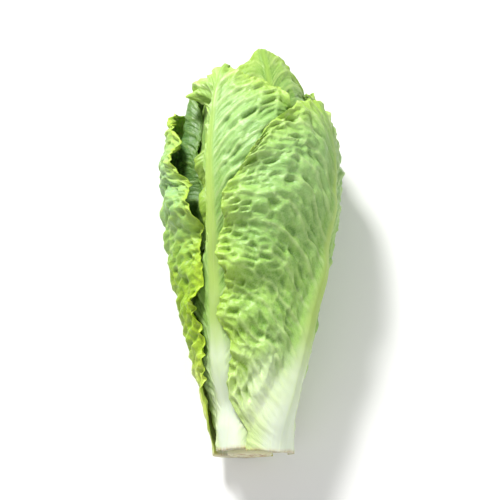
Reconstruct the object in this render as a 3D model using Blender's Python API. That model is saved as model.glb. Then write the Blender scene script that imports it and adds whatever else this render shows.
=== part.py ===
"""A romaine heart as picked and trimmed, lying down: a short cut stem and the leaves that wrap round it.

The heart is first laid out straight. There a point has a height along the stem's axis, an angle round it
and a radius, all in millimetres and radians. Each leaf is draped over the leaves inside it, the innermost
first. The whole heart is then laid on the table: its axis rises towards the wide end, and its underside
is pressed flat where it rests.
"""

import math
from dataclasses import dataclass

import bpy
import numpy as np
from mathutils import Vector
from mathutils.bvhtree import BVHTree

MM = 0.001

# The whole heart, in millimetres. Heights are measured from the cut face of the stem.
HEART_LENGTH = 222.0
# Radius of the round heart at each height: narrow at the cut stem, widest near the leaf tops.
HEART_OUTLINE = ((0, 14), (12, 20), (35, 29), (70, 39), (100, 46.5), (130, 53), (155, 56),
                 (178, 53), (198, 44), (212, 33), (222, 22))
# How high the axis lies above the table at each height, so that the underside lies along it.
AXIS_HEIGHT = ((0, 20.9), (35, 24.0), (70, 26.5), (100, 30.2), (130, 35.6), (155, 37.5),
               (190, 40.6), (222, 43.2))
UPRIGHT_SHARE = 0.86
PRESSED_SHARE = 0.06
PRESSED_ANGLE = math.radians(26)
PRESSED_DEPTH = 3.4
PRESSED_ROOM = 2.4
PRESSED_SPREAD = math.radians(35)
# Underneath, the outermost leaf's margin covers the second leaf to the right of this distance.
COVERED_FROM = 7.0
COVERED_RAMP = 7.0

# The stem: its cut end, and how it narrows up inside the heart to the growing point.
STEM_OUTLINE = ((0, 11.6), (1.5, 12.2), (6, 11.6), (14, 9.8), (24, 7.8), (36, 5.6), (48, 3.2))
STEM_TIP = 54.0
STEM_SIDES = 24

# Leaves.
LEAF_GAP = 0.6
BLADE_THICKNESS = 0.9
RIB_HALF_WIDTH = 9.5
RIB_DEPTH = 4.6
RIB_END_HALF_WIDTH = 1.3
RIB_END_DEPTH = 0.4
# The blade reaches at least this far beyond its rib.
LEAST_BLADE = 3.6
# Half width of the blade, as a share of its greatest, at each share of the leaf's length.
BLADE_OUTLINE = ((0, 0.12), (0.06, 0.20), (0.17, 0.46), (0.32, 0.70), (0.5, 0.88), (0.7, 1.0),
                 (0.86, 0.96), (1, 0.74))
TIP_DROOP = 0.16
TIP_UNEVEN = 0.011
MARGIN_UNEVEN = 0.055
RIB_SPACING_ANGLE = 137.5
FIRST_AZIMUTH = 58.0
BASE_STEP = 0.33
WIDEST_WRAP = 2.55
STEM_BLEND = 46.0
RUFFLE_LENGTH = 27.0
# From mid-height up the third leaf has little blade left of its rib, which leaves a deep gap beside it:
# the share of that half's width at each share of the leaf's length.
GAP_ORDER = 2
GAP_OUTLINE = ((0, 1), (0.48, 1), (0.58, 0.15), (0.80, 0.12), (0.92, 0.35), (1, 0.5))

# Where the stacking of leaves is measured: a grid of angles and heights.
STACK_ANGLES = 200
STACK_STEP = 1.5
STACK_FAR = 90.0
DRAPE_PASSES = 14
SOFTEN_ROUNDS = 3


@dataclass(frozen=True)
class Leaf:
    """One leaf. The first in the list is the outermost; lengths are in millimetres.

    Left and right are seen from outside with the tip up: each is that half's share of the half width.
    """

    order: int
    tip: float
    half_width: float
    share: float
    ruffle: float
    lean: float
    twist: float
    off_spiral: float = 0.0
    left: float = 1.0
    right: float = 1.0

    @property
    def name(self):
        return f"leaf_{self.order + 1:02d}"

    @property
    def azimuth(self):
        return math.radians(FIRST_AZIMUTH + RIB_SPACING_ANGLE * self.order + self.off_spiral)

    @property
    def base(self):
        return 1.0 + BASE_STEP * self.order ** 1.9

    @property
    def length(self):
        return self.tip - self.base

    @property
    def rib_scale(self):
        return 0.20 + 0.80 * self.half_width / LEAVES[0].half_width

    @property
    def is_outer(self):
        return self.order < 2

    @property
    def strips(self):
        """Strips of faces along the leaf and across each half blade: most on the leaves that show most."""
        if self.order == GAP_ORDER:
            return 30, 7
        if self.order < GAP_ORDER:
            return 24, 7
        return (16, 5) if self.order < 9 else (11, 3)


LEAVES = [
    Leaf(0, tip=188, half_width=86, share=0.905, ruffle=4.4, lean=-2.0, twist=15, left=0.87),
    Leaf(1, tip=194, half_width=90, share=0.875, ruffle=4.8, lean=0.0, twist=14, off_spiral=16, left=0.86,
         right=1.05),
    Leaf(2, tip=206, half_width=80, share=0.80, ruffle=3.2, lean=-3.0, twist=8, off_spiral=-5),
    Leaf(3, tip=201, half_width=76, share=0.745, ruffle=3.4, lean=2.0, twist=-9),
    Leaf(4, tip=210, half_width=72, share=0.685, ruffle=3.0, lean=1.0, twist=7, off_spiral=-12, right=0.6),
    Leaf(5, tip=217, half_width=66, share=0.62, ruffle=2.8, lean=3.0, twist=-10, left=0.62),
    Leaf(6, tip=211, half_width=60, share=0.555, ruffle=2.6, lean=2.0, twist=8),
    Leaf(7, tip=206, half_width=53, share=0.485, ruffle=2.4, lean=2.0, twist=4),
    Leaf(8, tip=197, half_width=46, share=0.415, ruffle=2.2, lean=1.0, twist=-8),
    Leaf(9, tip=183, half_width=39, share=0.345, ruffle=1.8, lean=1.0, twist=6),
    Leaf(10, tip=166, half_width=31, share=0.275, ruffle=1.4, lean=0.0, twist=9),
    Leaf(11, tip=146, half_width=24, share=0.205, ruffle=1.0, lean=0.0, twist=-5),
    Leaf(12, tip=124, half_width=17, share=0.14, ruffle=0.6, lean=0.0, twist=5),
]

# Colours as a Principled shader takes them.
OUTER_GREEN = (0.16, 0.30, 0.06)
INNER_GREEN = (0.42, 0.52, 0.14)
STEM_CREAM = (0.72, 0.68, 0.45)


def smooth_step(t):
    t = np.clip(t, 0.0, 1.0)
    return t * t * (3 - 2 * t)


def through(points, x):
    """A smooth curve through the points, read at x, which doesn't overshoot between them."""
    px, py = np.array(points, float).T
    slope = np.diff(py) / np.diff(px)
    tangent = np.concatenate([slope[:1], np.zeros(len(px) - 2), slope[-1:]])
    both = slope[:-1] * slope[1:]
    rising = both > 0
    tangent[1:-1][rising] = 2 * both[rising] / (slope[:-1] + slope[1:])[rising]
    x = np.clip(x, px[0], px[-1])
    i = np.clip(np.searchsorted(px, x, side="right") - 1, 0, len(px) - 2)
    step = px[i + 1] - px[i]
    t = (x - px[i]) / step
    return (
        (2 * t**3 - 3 * t**2 + 1) * py[i]
        + (t**3 - 2 * t**2 + t) * step * tangent[i]
        + (3 * t**2 - 2 * t**3) * py[i + 1]
        + (t**3 - t**2) * step * tangent[i + 1]
    )


def waves(x, y, seed, count=5):
    """A smooth uneven surface between about -1 and 1: crossed waves of unlike lengths, set by the seed."""
    draw = np.random.default_rng(seed)
    total = 0.0
    for _ in range(count):
        heading = draw.uniform(0, math.tau)
        length = draw.uniform(0.7, 1.5)
        phase = draw.uniform(0, math.tau)
        along = (x * math.cos(heading) + y * math.sin(heading)) / length
        total = total + np.sin(math.tau * along + phase)
    return total / math.sqrt(count)


def stem_radius(height):
    return np.where(height < STEM_TIP, through(STEM_OUTLINE, height), 0.0)


def shell_radius(leaf, height):
    """Radius where the leaf would lie with nothing under it: from the stem out to its share of the heart."""
    root = float(stem_radius(leaf.base)) + LEAF_GAP
    open_share = smooth_step((height - leaf.base) / STEM_BLEND)
    return root + (leaf.share * through(HEART_OUTLINE, height) - root) * open_share


def rib_half_width(leaf, v):
    return leaf.rib_scale * RIB_HALF_WIDTH * (1 - v) ** 1.25 + RIB_END_HALF_WIDTH


def rib_depth(leaf, v):
    return leaf.rib_scale * RIB_DEPTH * (1 - v) ** 1.3 + RIB_END_DEPTH


def blade_columns(blade_strips):
    """For each line of points along the leaf: its side, its share of the rib's width and of the blade's."""
    blade = (np.arange(blade_strips) + 1) / blade_strips
    half = [(0.5, 0.0), (1.0, 0.0)] + [(1.0, b) for b in blade]
    left = [(-1, rib, b) for rib, b in reversed(half)]
    right = [(1, rib, b) for rib, b in half]
    return np.array(left + [(1, 0.0, 0.0)] + right).T


def blade_widths(leaf, v, side):
    """Half width of the blade on this side of the rib: as if it were whole, and with the gap taken off."""
    share = np.where(side < 0, leaf.left, leaf.right)
    uneven = 1 + MARGIN_UNEVEN * smooth_step(v / 0.3) * waves(5 * v + side, side * 2.0, 40 + leaf.order)
    least = rib_half_width(leaf, v) + LEAST_BLADE
    whole = np.maximum(leaf.half_width * share * through(BLADE_OUTLINE, v) * uneven, least)
    has_gap = (side < 0) & (leaf.order == GAP_ORDER)
    return whole, np.maximum(np.where(has_gap, whole * through(GAP_OUTLINE, v), whole), least)


def leaf_layout(leaf, rows, blade_strips):
    """Arc distance from the rib, height and angle of each point of the leaf's grid, and its shares."""
    side, rib_share, blade_share = blade_columns(blade_strips)
    v = np.linspace(0, 1, rows + 1)[:, None]
    whole_width, width = blade_widths(leaf, v, side)
    rib = rib_half_width(leaf, v)
    arc = side * (rib_share * rib + blade_share * (width - rib))
    u = arc / whole_width
    lobes = TIP_UNEVEN * v**6 * waves(1.3 * u, 0 * u, 20 + leaf.order)
    height = leaf.base + leaf.length * (v - TIP_DROOP * v**2 * u**2 + lobes)
    wrap = WIDEST_WRAP * np.tanh(arc / (shell_radius(leaf, height) + 1.0) / WIDEST_WRAP)
    turn = math.radians(leaf.twist) * (smooth_step(v / 0.7) - 0.5)
    return arc, height, leaf.azimuth + turn + wrap, u, v + 0 * u


def under_share(angle):
    """1 on the underside of the heart, and 0 away from it."""
    from_below = np.abs(np.mod(angle, math.tau) - math.pi)
    return 1 - smooth_step(from_below / PRESSED_SPREAD - 1)


def blade_waves(leaf, arc, height, angle, u, v):
    """How far the blade stands out from its shell: slow swells, and ruffles that grow towards the margin."""
    swell = 1.1 * smooth_step(v / 0.35) * (1 + waves(arc / 42, height / 48, 70 + leaf.order))
    swell = swell * smooth_step(np.abs(u) / 0.35)
    side = np.sign(u)
    phase = waves(height / 90, side, 90 + leaf.order, 3) * 1.4 + 2.1 * side
    ruffle = np.sin(math.tau * height / RUFFLE_LENGTH + phase)
    margin = np.abs(u) ** 3 * smooth_step((v - 0.12) / 0.5) * (1 - under_share(angle))
    return swell + leaf.ruffle * margin * (0.8 + ruffle) + leaf.lean * v**5


def leaf_thickness(leaf, arc, v):
    rib = np.cos(0.5 * math.pi * np.clip(np.abs(arc) / (1.25 * rib_half_width(leaf, v)), 0, 1)) ** 1.4
    return BLADE_THICKNESS + rib_depth(leaf, v) * rib


def straight_points(radius, angle, height):
    return np.stack([radius * np.sin(angle), height + 0 * radius, radius * np.cos(angle)], axis=-1)


def grid_triangles(rows, columns):
    """Triangles of a grid of points, whose diagonals turn from one square to the next."""
    faces = []
    for i in range(rows):
        for j in range(columns):
            a = i * (columns + 1) + j
            b, c, d = a + 1, a + columns + 2, a + columns + 1
            faces += [(a, b, c), (a, c, d)] if (i + j) % 2 else [(a, b, d), (b, c, d)]
    return np.array(faces)


class Stack:
    """The radius that the heart built so far reaches, at each angle and height."""

    def __init__(self):
        self.angles = np.arange(STACK_ANGLES) * math.tau / STACK_ANGLES
        self.heights = np.arange(0, HEART_LENGTH + 12, STACK_STEP)
        self.reach = np.zeros((STACK_ANGLES, len(self.heights)))

    def add(self, points, faces):
        """Finds how far out the mesh reaches, by looking at it from outside along each radius."""
        tree = BVHTree.FromPolygons([Vector(p) for p in points], faces.tolist())
        low, high = points[:, 1].min(), points[:, 1].max()
        for i, angle in enumerate(self.angles):
            out = Vector((math.sin(angle), 0, math.cos(angle)))
            for j, height in enumerate(self.heights):
                if not low - STACK_STEP <= height <= high + STACK_STEP:
                    continue
                at = min(max(height, low + 0.01), high - 0.01)
                _, _, _, depth = tree.ray_cast(out * STACK_FAR + Vector((0, at, 0)), -out, STACK_FAR)
                if depth is not None:
                    self.reach[i, j] = max(self.reach[i, j], STACK_FAR - depth)

    def read(self, angle, height):
        """The reach at these angles and heights, as the highest of the nine grid points nearest to each."""
        i = np.rint(angle / math.tau * STACK_ANGLES).astype(int)
        j = np.clip(np.rint(height / STACK_STEP).astype(int), 1, len(self.heights) - 2)
        near = [self.reach[(i + a) % STACK_ANGLES, j + b] for a in (-1, 0, 1) for b in (-1, 0, 1)]
        return np.maximum.reduce(near)


def triangle_samples(steps=5):
    """Weights of points spread evenly over a triangle, its corners among them."""
    return np.array([(a, b, steps - a - b) for a in range(steps + 1) for b in range(steps + 1 - a)]) / steps


def room_to_press(leaf, angle):
    """The outer leaves lie looser on the underside, where the table then presses them flat."""
    return PRESSED_ROOM * under_share(angle) if leaf.is_outer else 0 * angle


def drape(leaf, radius, angle, height, faces, stack):
    """Pushes the leaf's points outwards until its inner face clears what it lies on."""
    shape, weights = radius.shape, triangle_samples()
    radius, angle, height = radius.ravel().copy(), angle.ravel(), height.ravel()
    spread = (weights**2).sum(axis=1)
    for _ in range(DRAPE_PASSES):
        corners = straight_points(radius, angle, height)[faces]
        sample = np.einsum("sk,fkx->fsx", weights, corners)
        reached = np.hypot(sample[..., 0], sample[..., 2])
        under = stack.read(np.arctan2(sample[..., 0], sample[..., 2]), sample[..., 1])
        gap = LEAF_GAP + room_to_press(leaf, np.arctan2(sample[..., 0], sample[..., 2]))
        short = np.where(under > 0, np.maximum(under + gap - reached, 0), 0)
        push = np.zeros_like(radius)
        for corner in range(3):
            lift = (short * weights[:, corner] / spread).max(axis=1)
            np.maximum.at(push, faces[:, corner], lift)
        radius += push
        if push.max() < 0.02:
            break
    return radius.reshape(shape)


def soften(radius, rounds=2):
    """Evens out a grid of radii along and across the leaf."""
    for _ in range(rounds):
        padded = np.pad(radius, 1, mode="edge")
        near = padded[:-2, 1:-1] + padded[2:, 1:-1] + padded[1:-1, :-2] + padded[1:-1, 2:]
        radius = 0.5 * radius + 0.125 * near
    return radius


def leaf_solid(leaf, stack):
    """The leaf's points and triangles in the straight heart: inner face, outer face and rim."""
    rows, blade_strips = leaf.strips
    arc, height, angle, u, v = leaf_layout(leaf, rows, blade_strips)
    columns = arc.shape[1] - 1
    faces = grid_triangles(rows, columns)
    inner = shell_radius(leaf, height) + blade_waves(leaf, arc, height, angle, u, v)
    inner = drape(leaf, inner, angle, height, faces, stack)
    for _ in range(SOFTEN_ROUNDS):
        inner = drape(leaf, soften(inner), angle, height, faces, stack)
    slope_along, slope_across = np.gradient(inner)
    run_along = np.abs(np.gradient(height, axis=0))
    run_across = np.abs(np.gradient(arc, axis=1)) + 0.1
    steep = np.sqrt(1 + (slope_along / run_along) ** 2 + (slope_across / run_across) ** 2)
    outer = inner + leaf_thickness(leaf, arc, v) * np.minimum(steep, 1.5)
    points = np.concatenate([
        straight_points(inner, angle, height).reshape(-1, 3),
        straight_points(outer, angle, height).reshape(-1, 3),
    ])
    count = inner.size
    index = np.arange(count).reshape(rows + 1, columns + 1)
    rim = np.concatenate([index[0, :-1], index[:-1, -1], index[-1, :0:-1], index[:0:-1, 0]])
    following = np.roll(rim, -1)
    walls = [(b, b + count, a) for a, b in zip(rim, following)]
    walls += [(b + count, a + count, a) for a, b in zip(rim, following)]
    return points, np.concatenate([faces[:, ::-1], faces + count, np.array(walls)])


def stem_solid():
    """The stem as a turned body: its cut face, its sides and its pointed top."""
    rings = np.array([h for h, _ in STEM_OUTLINE], float)
    radii = np.array([r for _, r in STEM_OUTLINE], float)
    angle = np.arange(STEM_SIDES) * math.tau / STEM_SIDES
    sides = [straight_points(0 * angle + r, angle, 0 * angle + h) for h, r in zip(rings, radii)]
    points = np.concatenate(sides + [[(0, 0, 0), (0, STEM_TIP, 0)]])
    foot, top = len(points) - 2, len(points) - 1
    faces = []
    for j in range(STEM_SIDES):
        k = (j + 1) % STEM_SIDES
        faces.append((foot, k, j))
        for ring in range(len(rings) - 1):
            a, b = ring * STEM_SIDES, (ring + 1) * STEM_SIDES
            faces += [(a + j, a + k, b + k), (a + j, b + k, b + j)]
        last = (len(rings) - 1) * STEM_SIDES
        faces.append((last + j, last + k, top))
    return points, np.array(faces)


def lay_down(points):
    """Carries points of the straight heart to where they lie on the table, in metres, not yet centred."""
    height = points[:, 1]
    from_below = np.arctan2(np.abs(points[:, 0]), -points[:, 2])
    pressed = 1 - PRESSED_SHARE * np.exp(-((from_below / PRESSED_ANGLE) ** 2))
    return np.stack([
        points[:, 0] * pressed,
        height,
        through(AXIS_HEIGHT, height) + points[:, 2] * pressed * UPRIGHT_SHARE,
    ], axis=-1) * MM


def press_flat(leaf, points, table):
    """Flattens what lies below the table: the outer face onto it, and the inner face one thickness above it.

    The second leaf comes to lie on the outermost leaf's margin where that covers it.
    """
    half = len(points) // 2
    covered = smooth_step((points[:half, 0] / MM - COVERED_FROM) / COVERED_RAMP) * leaf.order
    floor = table + (BLADE_THICKNESS + LEAF_GAP) * MM * covered
    points[:half, 2] = np.maximum(points[:half, 2], floor + BLADE_THICKNESS * MM)
    points[half:, 2] = np.maximum(points[half:, 2], floor)


def plain_material(name, colour):
    material = bpy.data.materials.new(name)
    material.use_nodes = True
    shader = material.node_tree.nodes["Principled BSDF"]
    shader.inputs["Base Color"].default_value = (*colour, 1)
    shader.inputs["Roughness"].default_value = 0.42
    shader.inputs["Metallic"].default_value = 0.0
    return material


def add_object(name, points, faces, material):
    mesh = bpy.data.meshes.new(name)
    mesh.from_pydata(points.tolist(), [], faces.tolist())
    mesh.materials.append(material)
    mesh.shade_smooth()
    bpy.context.scene.collection.objects.link(bpy.data.objects.new(name, mesh))


def main():
    for old in list(bpy.data.objects):
        bpy.data.objects.remove(old)
    stack = Stack()
    points, faces = stem_solid()
    stack.add(points, faces)
    solids = {"stem": (lay_down(points), faces)}
    for leaf in reversed(LEAVES):
        points, faces = leaf_solid(leaf, stack)
        stack.add(points, faces)
        solids[leaf.name] = (lay_down(points), faces)
    lowest = min(points[:, 2].min() for points, _ in solids.values())
    table = lowest + PRESSED_DEPTH * MM
    for leaf in LEAVES:
        if leaf.is_outer:
            press_flat(leaf, solids[leaf.name][0], table)
    everything = np.concatenate([points for points, _ in solids.values()])
    low, high = everything.min(axis=0), everything.max(axis=0)
    foot = np.array([(low[0] + high[0]) / 2, (low[1] + high[1]) / 2, low[2]])
    for name, (points, faces) in solids.items():
        order = 0 if name == "stem" else int(name[-2:]) / len(LEAVES)
        green = tuple(np.array(OUTER_GREEN) * (1 - order) + np.array(INNER_GREEN) * order)
        material = plain_material(name, STEM_CREAM if name == "stem" else green)
        add_object(name, points - foot, faces, material)


main()
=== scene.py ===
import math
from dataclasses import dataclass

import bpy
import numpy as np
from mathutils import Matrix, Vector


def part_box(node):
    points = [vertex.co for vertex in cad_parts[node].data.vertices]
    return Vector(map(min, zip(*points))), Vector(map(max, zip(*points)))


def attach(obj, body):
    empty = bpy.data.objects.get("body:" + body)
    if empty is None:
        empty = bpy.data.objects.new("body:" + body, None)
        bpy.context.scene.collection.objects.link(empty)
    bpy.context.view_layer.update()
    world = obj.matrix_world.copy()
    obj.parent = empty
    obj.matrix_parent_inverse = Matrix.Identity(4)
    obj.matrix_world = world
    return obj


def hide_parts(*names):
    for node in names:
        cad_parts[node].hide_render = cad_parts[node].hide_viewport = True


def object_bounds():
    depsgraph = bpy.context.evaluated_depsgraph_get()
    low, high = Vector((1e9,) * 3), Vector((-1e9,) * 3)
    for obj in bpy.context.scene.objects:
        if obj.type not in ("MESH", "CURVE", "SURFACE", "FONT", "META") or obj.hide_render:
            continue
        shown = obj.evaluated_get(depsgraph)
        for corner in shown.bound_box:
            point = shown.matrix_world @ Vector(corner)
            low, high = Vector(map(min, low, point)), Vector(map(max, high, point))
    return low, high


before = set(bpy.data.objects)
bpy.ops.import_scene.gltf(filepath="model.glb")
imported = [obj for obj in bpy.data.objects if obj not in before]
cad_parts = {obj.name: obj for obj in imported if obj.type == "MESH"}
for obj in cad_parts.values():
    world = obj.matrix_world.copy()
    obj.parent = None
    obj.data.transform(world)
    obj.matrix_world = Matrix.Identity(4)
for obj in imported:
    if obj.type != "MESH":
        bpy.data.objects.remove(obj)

# A romaine heart lying on a pale table, seen from above with its cut stem towards the viewer.
#
# Each leaf is drawn again over its solid, from the same sizes, as a fine thin blade. It has a thick
# pale rib, side veins that leave the rib in a herringbone, puckered flesh between the veins and a
# frilled margin. The leaves are draped over one another from the innermost out, in a straight heart
# where a point has a height along the stem, an angle round it and a radius, in millimetres and
# radians. The straight heart is then laid on the table where the solids lie.

CAD_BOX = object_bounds()
MM = 0.001

# The whole heart, in millimetres, as in the solids. At each height from the cut face of the stem: its
# radius while it is straight and round, and how high its axis lies above the table.
HEART_OUTLINE = ((0, 14), (12, 20), (35, 29), (70, 39), (100, 46.5), (130, 53), (155, 56),
                 (178, 53), (198, 44), (212, 33), (222, 22))
AXIS_HEIGHT = ((0, 20.9), (35, 24.0), (70, 26.5), (100, 30.2), (130, 35.6), (155, 37.5),
               (190, 40.6), (222, 43.2))
# It sags as it lies, and its underside is pressed flat.
UPRIGHT_SHARE = 0.86
PRESSED_SHARE = 0.06
PRESSED_ANGLE = math.radians(26)
PRESSED_ROOM = 2.4
PRESSED_SPREAD = math.radians(35)
# Underneath, the outermost leaf's margin covers the second leaf to the right of this distance.
COVERED_FROM = 7.0
COVERED_RAMP = 7.0

# The stem, as in the solids.
STEM_OUTLINE = ((0, 11.6), (1.5, 12.2), (6, 11.6), (14, 9.8), (24, 7.8), (36, 5.6), (48, 3.2))
STEM_TIP = 54.0
STEM_SIDES = 24

# The leaves, as in the solids.
RIB_HALF_WIDTH = 9.5
RIB_DEPTH = 4.6
RIB_END_HALF_WIDTH = 1.3
RIB_END_DEPTH = 0.4
LEAST_BLADE = 3.6
# Half width of the blade, as a share of its greatest, at each share of the leaf's length.
BLADE_OUTLINE = ((0, 0.12), (0.06, 0.20), (0.17, 0.46), (0.32, 0.70), (0.5, 0.88), (0.7, 1.0),
                 (0.86, 0.96), (1, 0.74))
TIP_DROOP = 0.16
TIP_UNEVEN = 0.011
MARGIN_UNEVEN = 0.055
RIB_SPACING_ANGLE = 137.5
FIRST_AZIMUTH = 58.0
BASE_STEP = 0.33
WIDEST_WRAP = 2.55
STEM_BLEND = 46.0
RUFFLE_LENGTH = 27.0
SWELL_HEIGHT = 1.1
SWELL_LENGTHS = (42, 48)
LEAF_GAP = 0.6
BLADE_THICKNESS = 0.9
# Counted from the outermost: the leaves that lie on the table, the outer ones and the middle ones.
TABLE_LEAVES, OUTER_LEAVES, MIDDLE_LEAVES = 2, 3, 5

# The third leaf has little blade left of its rib from mid-height up, which leaves a deep gap beside it.
# The gap is longer than in the solids, and the narrow half-blade there is folded in along the rib.
GAP_ORDER = 2
GAP_OUTLINE = ((0, 1), (0.46, 1), (0.55, 0.08), (0.80, 0.07), (0.92, 0.30), (1, 0.5))
FOLD_SLOPE = 1.5
FOLD_FROM, FOLD_TO, FOLD_RAMP = 0.46, 0.97, 0.10
# Where a margin curls in: from this share of the half width out, and from this share of the length up.
CURL_FROM_RIB, CURL_FROM_BASE, CURL_RAMP = 0.45, 0.35, 0.25

# What the fine blades have beyond the solids, in millimetres at the outermost leaf.
FINE_GAP = 0.15
FINE_THICKNESS = 0.55
MARGIN_THICKNESS = 0.35
# How far in from the margin the blade thins, its puckers crowd and its lime tint reaches.
MARGIN_REACH = 14
# The margin's small bites, coarse and finer, along the sides and at the tip.
BITE_LENGTHS = (9, 4)
BITE_DEPTH = 1.0
TIP_BITE_LENGTHS = (8, 4)
TIP_BITE_DEPTH = 1.6
FINER_BITES = 0.6
FRILL_LENGTH = 12.0
FRILL_HEIGHT = 1.4
FRILL_REACH = 6.5
FRILL_WANDER, FRILL_WANDER_LENGTH = 9, 14
FRILL_CHANGE_LENGTH = 21
FRILL_CLEAR_OF_RIB = 7
# A side vein leaves the rib steeply, bends outward and strays on its way, widely and finely.
VEIN_SPACING = 13.0
FINE_VEINS = 3
VEIN_NEAR_SLOPE = 1.6
VEIN_FAR_SLOPE = 0.3
VEIN_BEND = 20
VEIN_STRAY, VEIN_STRAY_LENGTH = 2.6, 19
FINE_STRAY, FINE_STRAY_LENGTH = 1.1, 8
VEIN_HALF_WIDTH, FINE_VEIN_HALF_WIDTH = 0.85, 0.45
VEIN_REACH, FINE_VEIN_REACH = 60, 34
VEIN_HEIGHT, FINE_VEIN_HEIGHT, NET_HEIGHT = 0.62, 0.32, 0.16
# Grooves along the rib: how deep they are, how far apart and how long.
GROOVE_DEPTH, GROOVE_SIZE = 0.10, (1.5, 45)
FINE_GROOVE_DEPTH, FINE_GROOVE_SIZE = 0.05, (0.7, 30)
# Flesh swells and sinks between the veins.
PIT_ALONG_VEIN = 9.5
PIT_ACROSS_VEIN = 4.2
PIT_DEPTH = 2.7
PIT_SLANT = 1.6
DOMES_FROM = 0.78
DOME_SHARE = 0.35
SMALL_PITS = 2.1
SMALL_PIT_DEPTH = 0.8
WRINKLE_HEIGHT = 1.1
WRINKLE_SIZE, FINE_WRINKLE_SIZE = (7.5, 30), (3.4, 16)
PUFF_HEIGHT = 0.75
PUFF_SIZE = (17, 24)
SUNK_BY = 0.35
# How far the stiff rib and foot span what lies under them, and how far bumps lift the leaf over them.
RIB_SPAN = 2.2
FOOT_SPAN = (12, 45)
LIFTED_SHARE = 0.4
# How round the turn is where the leaf comes to lie on the others, and where its puckers touch them.
RESTING_ROUND, TOUCHING_ROUND = 0.6, 0.3

# Seeds of the random draws, to which each leaf adds a number of its own.
TIP_SEED, MARGIN_SEED, SWELL_SEED, RUFFLE_SEED = 20, 40, 70, 90
BITE_SEED, TIP_BITE_SEED, FINER_BITE_STEP = 300, 340, 20
FRILL_SEED, RELIEF_SEED, GROOVE_SEED, STEM_SEED = 400, 500, 600, 700

# Where the stacking of leaves is measured: a grid of angles and heights.
STACK_ANGLES = 400
STACK_STEP = 1.0
STACK_HEIGHTS = 240
TIGHT_REACH = (2, 2)
BRIDGED_REACH = (13, 9)


@dataclass(frozen=True)
class Leaf:
    """One leaf. The first in the list is the outermost; lengths are in millimetres.

    Left and right are seen from outside with the tip up: each is that half's share of the half width.
    Spacing is the distance between the points of its mesh, and curl is how far its right margin bends in.
    """

    order: int
    tip: float
    half_width: float
    share: float
    ruffle: float
    lean: float
    twist: float
    spacing: float
    pucker: float
    finish: str
    off_spiral: float = 0.0
    left: float = 1.0
    right: float = 1.0
    curl: float = 0.0

    @property
    def name(self):
        return f"leaf_{self.order + 1:02d}"

    @property
    def azimuth(self):
        return math.radians(FIRST_AZIMUTH + RIB_SPACING_ANGLE * self.order + self.off_spiral)

    @property
    def base(self):
        return 1.0 + BASE_STEP * self.order ** 1.9

    @property
    def length(self):
        return self.tip - self.base

    @property
    def size(self):
        """Its width against the outermost leaf's."""
        return self.half_width / LEAVES[0].half_width

    @property
    def rib_scale(self):
        return 0.20 + 0.80 * self.size

    @property
    def on_table(self):
        return self.order < TABLE_LEAVES

    @property
    def slot(self):
        if self.order < OUTER_LEAVES:
            return "outer_leaf"
        return "middle_leaf" if self.order < OUTER_LEAVES + MIDDLE_LEAVES else "inner_leaf"


LEAVES = [
    Leaf(0, 188, 86, 0.905, 4.4, -2.0, 15, spacing=0.88, pucker=1.0, finish="outer_leaf", left=0.87),
    Leaf(1, 194, 90, 0.875, 4.8, 0.0, 14, spacing=1.0, pucker=1.0, finish="lime_leaf",
         off_spiral=16, left=0.86, right=1.05, curl=8.0),
    Leaf(2, 206, 80, 0.80, 3.2, -3.0, 8, spacing=0.95, pucker=0.9, finish="outer_leaf", off_spiral=-5),
    Leaf(3, 201, 76, 0.745, 3.4, 2.0, -9, spacing=1.25, pucker=0.6, finish="middle_leaf"),
    # The fifth leaf is coloured dark green as painted shade at the bottom of the gap.
    Leaf(4, 210, 72, 0.685, 3.0, 1.0, 7, spacing=1.2, pucker=0.65, finish="painted_gap_shade",
         off_spiral=-12, right=0.6, curl=12.0),
    Leaf(5, 217, 66, 0.62, 2.8, 3.0, -10, spacing=1.1, pucker=0.6, finish="middle_leaf", left=0.62),
    Leaf(6, 211, 60, 0.555, 2.6, 2.0, 8, spacing=1.25, pucker=0.55, finish="middle_leaf"),
    Leaf(7, 206, 53, 0.485, 2.4, 2.0, 4, spacing=1.25, pucker=0.5, finish="middle_leaf"),
    Leaf(8, 197, 46, 0.415, 2.2, 1.0, -8, spacing=1.3, pucker=0.45, finish="inner_leaf"),
    Leaf(9, 183, 39, 0.345, 1.8, 1.0, 6, spacing=1.4, pucker=0.4, finish="inner_leaf"),
    Leaf(10, 166, 31, 0.275, 1.4, 0.0, 9, spacing=1.4, pucker=0.35, finish="inner_leaf"),
    Leaf(11, 146, 24, 0.205, 1.0, 0.0, -5, spacing=1.4, pucker=0.3, finish="inner_leaf"),
    Leaf(12, 124, 17, 0.14, 0.6, 0.0, 5, spacing=1.4, pucker=0.25, finish="inner_leaf"),
]


# Curves and uneven surfaces

def smooth_step(t):
    t = np.clip(t, 0.0, 1.0)
    return t * t * (3 - 2 * t)


def bell(distance, reach):
    """1 at no distance, and falling to 0 on both sides like a bell."""
    return np.exp(-((distance / reach) ** 2))


def through(points, x):
    """A smooth curve through the points, read at x, which doesn't overshoot between them."""
    px, py = np.array(points, float).T
    slope = np.diff(py) / np.diff(px)
    tangent = np.concatenate([slope[:1], np.zeros(len(px) - 2), slope[-1:]])
    both = slope[:-1] * slope[1:]
    rising = both > 0
    tangent[1:-1][rising] = 2 * both[rising] / (slope[:-1] + slope[1:])[rising]
    x = np.clip(x, px[0], px[-1])
    i = np.clip(np.searchsorted(px, x, side="right") - 1, 0, len(px) - 2)
    step = px[i + 1] - px[i]
    t = (x - px[i]) / step
    return (
        (2 * t**3 - 3 * t**2 + 1) * py[i]
        + (t**3 - 2 * t**2 + t) * step * tangent[i]
        + (3 * t**2 - 2 * t**3) * py[i + 1]
        + (t**3 - t**2) * step * tangent[i + 1]
    )


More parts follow.
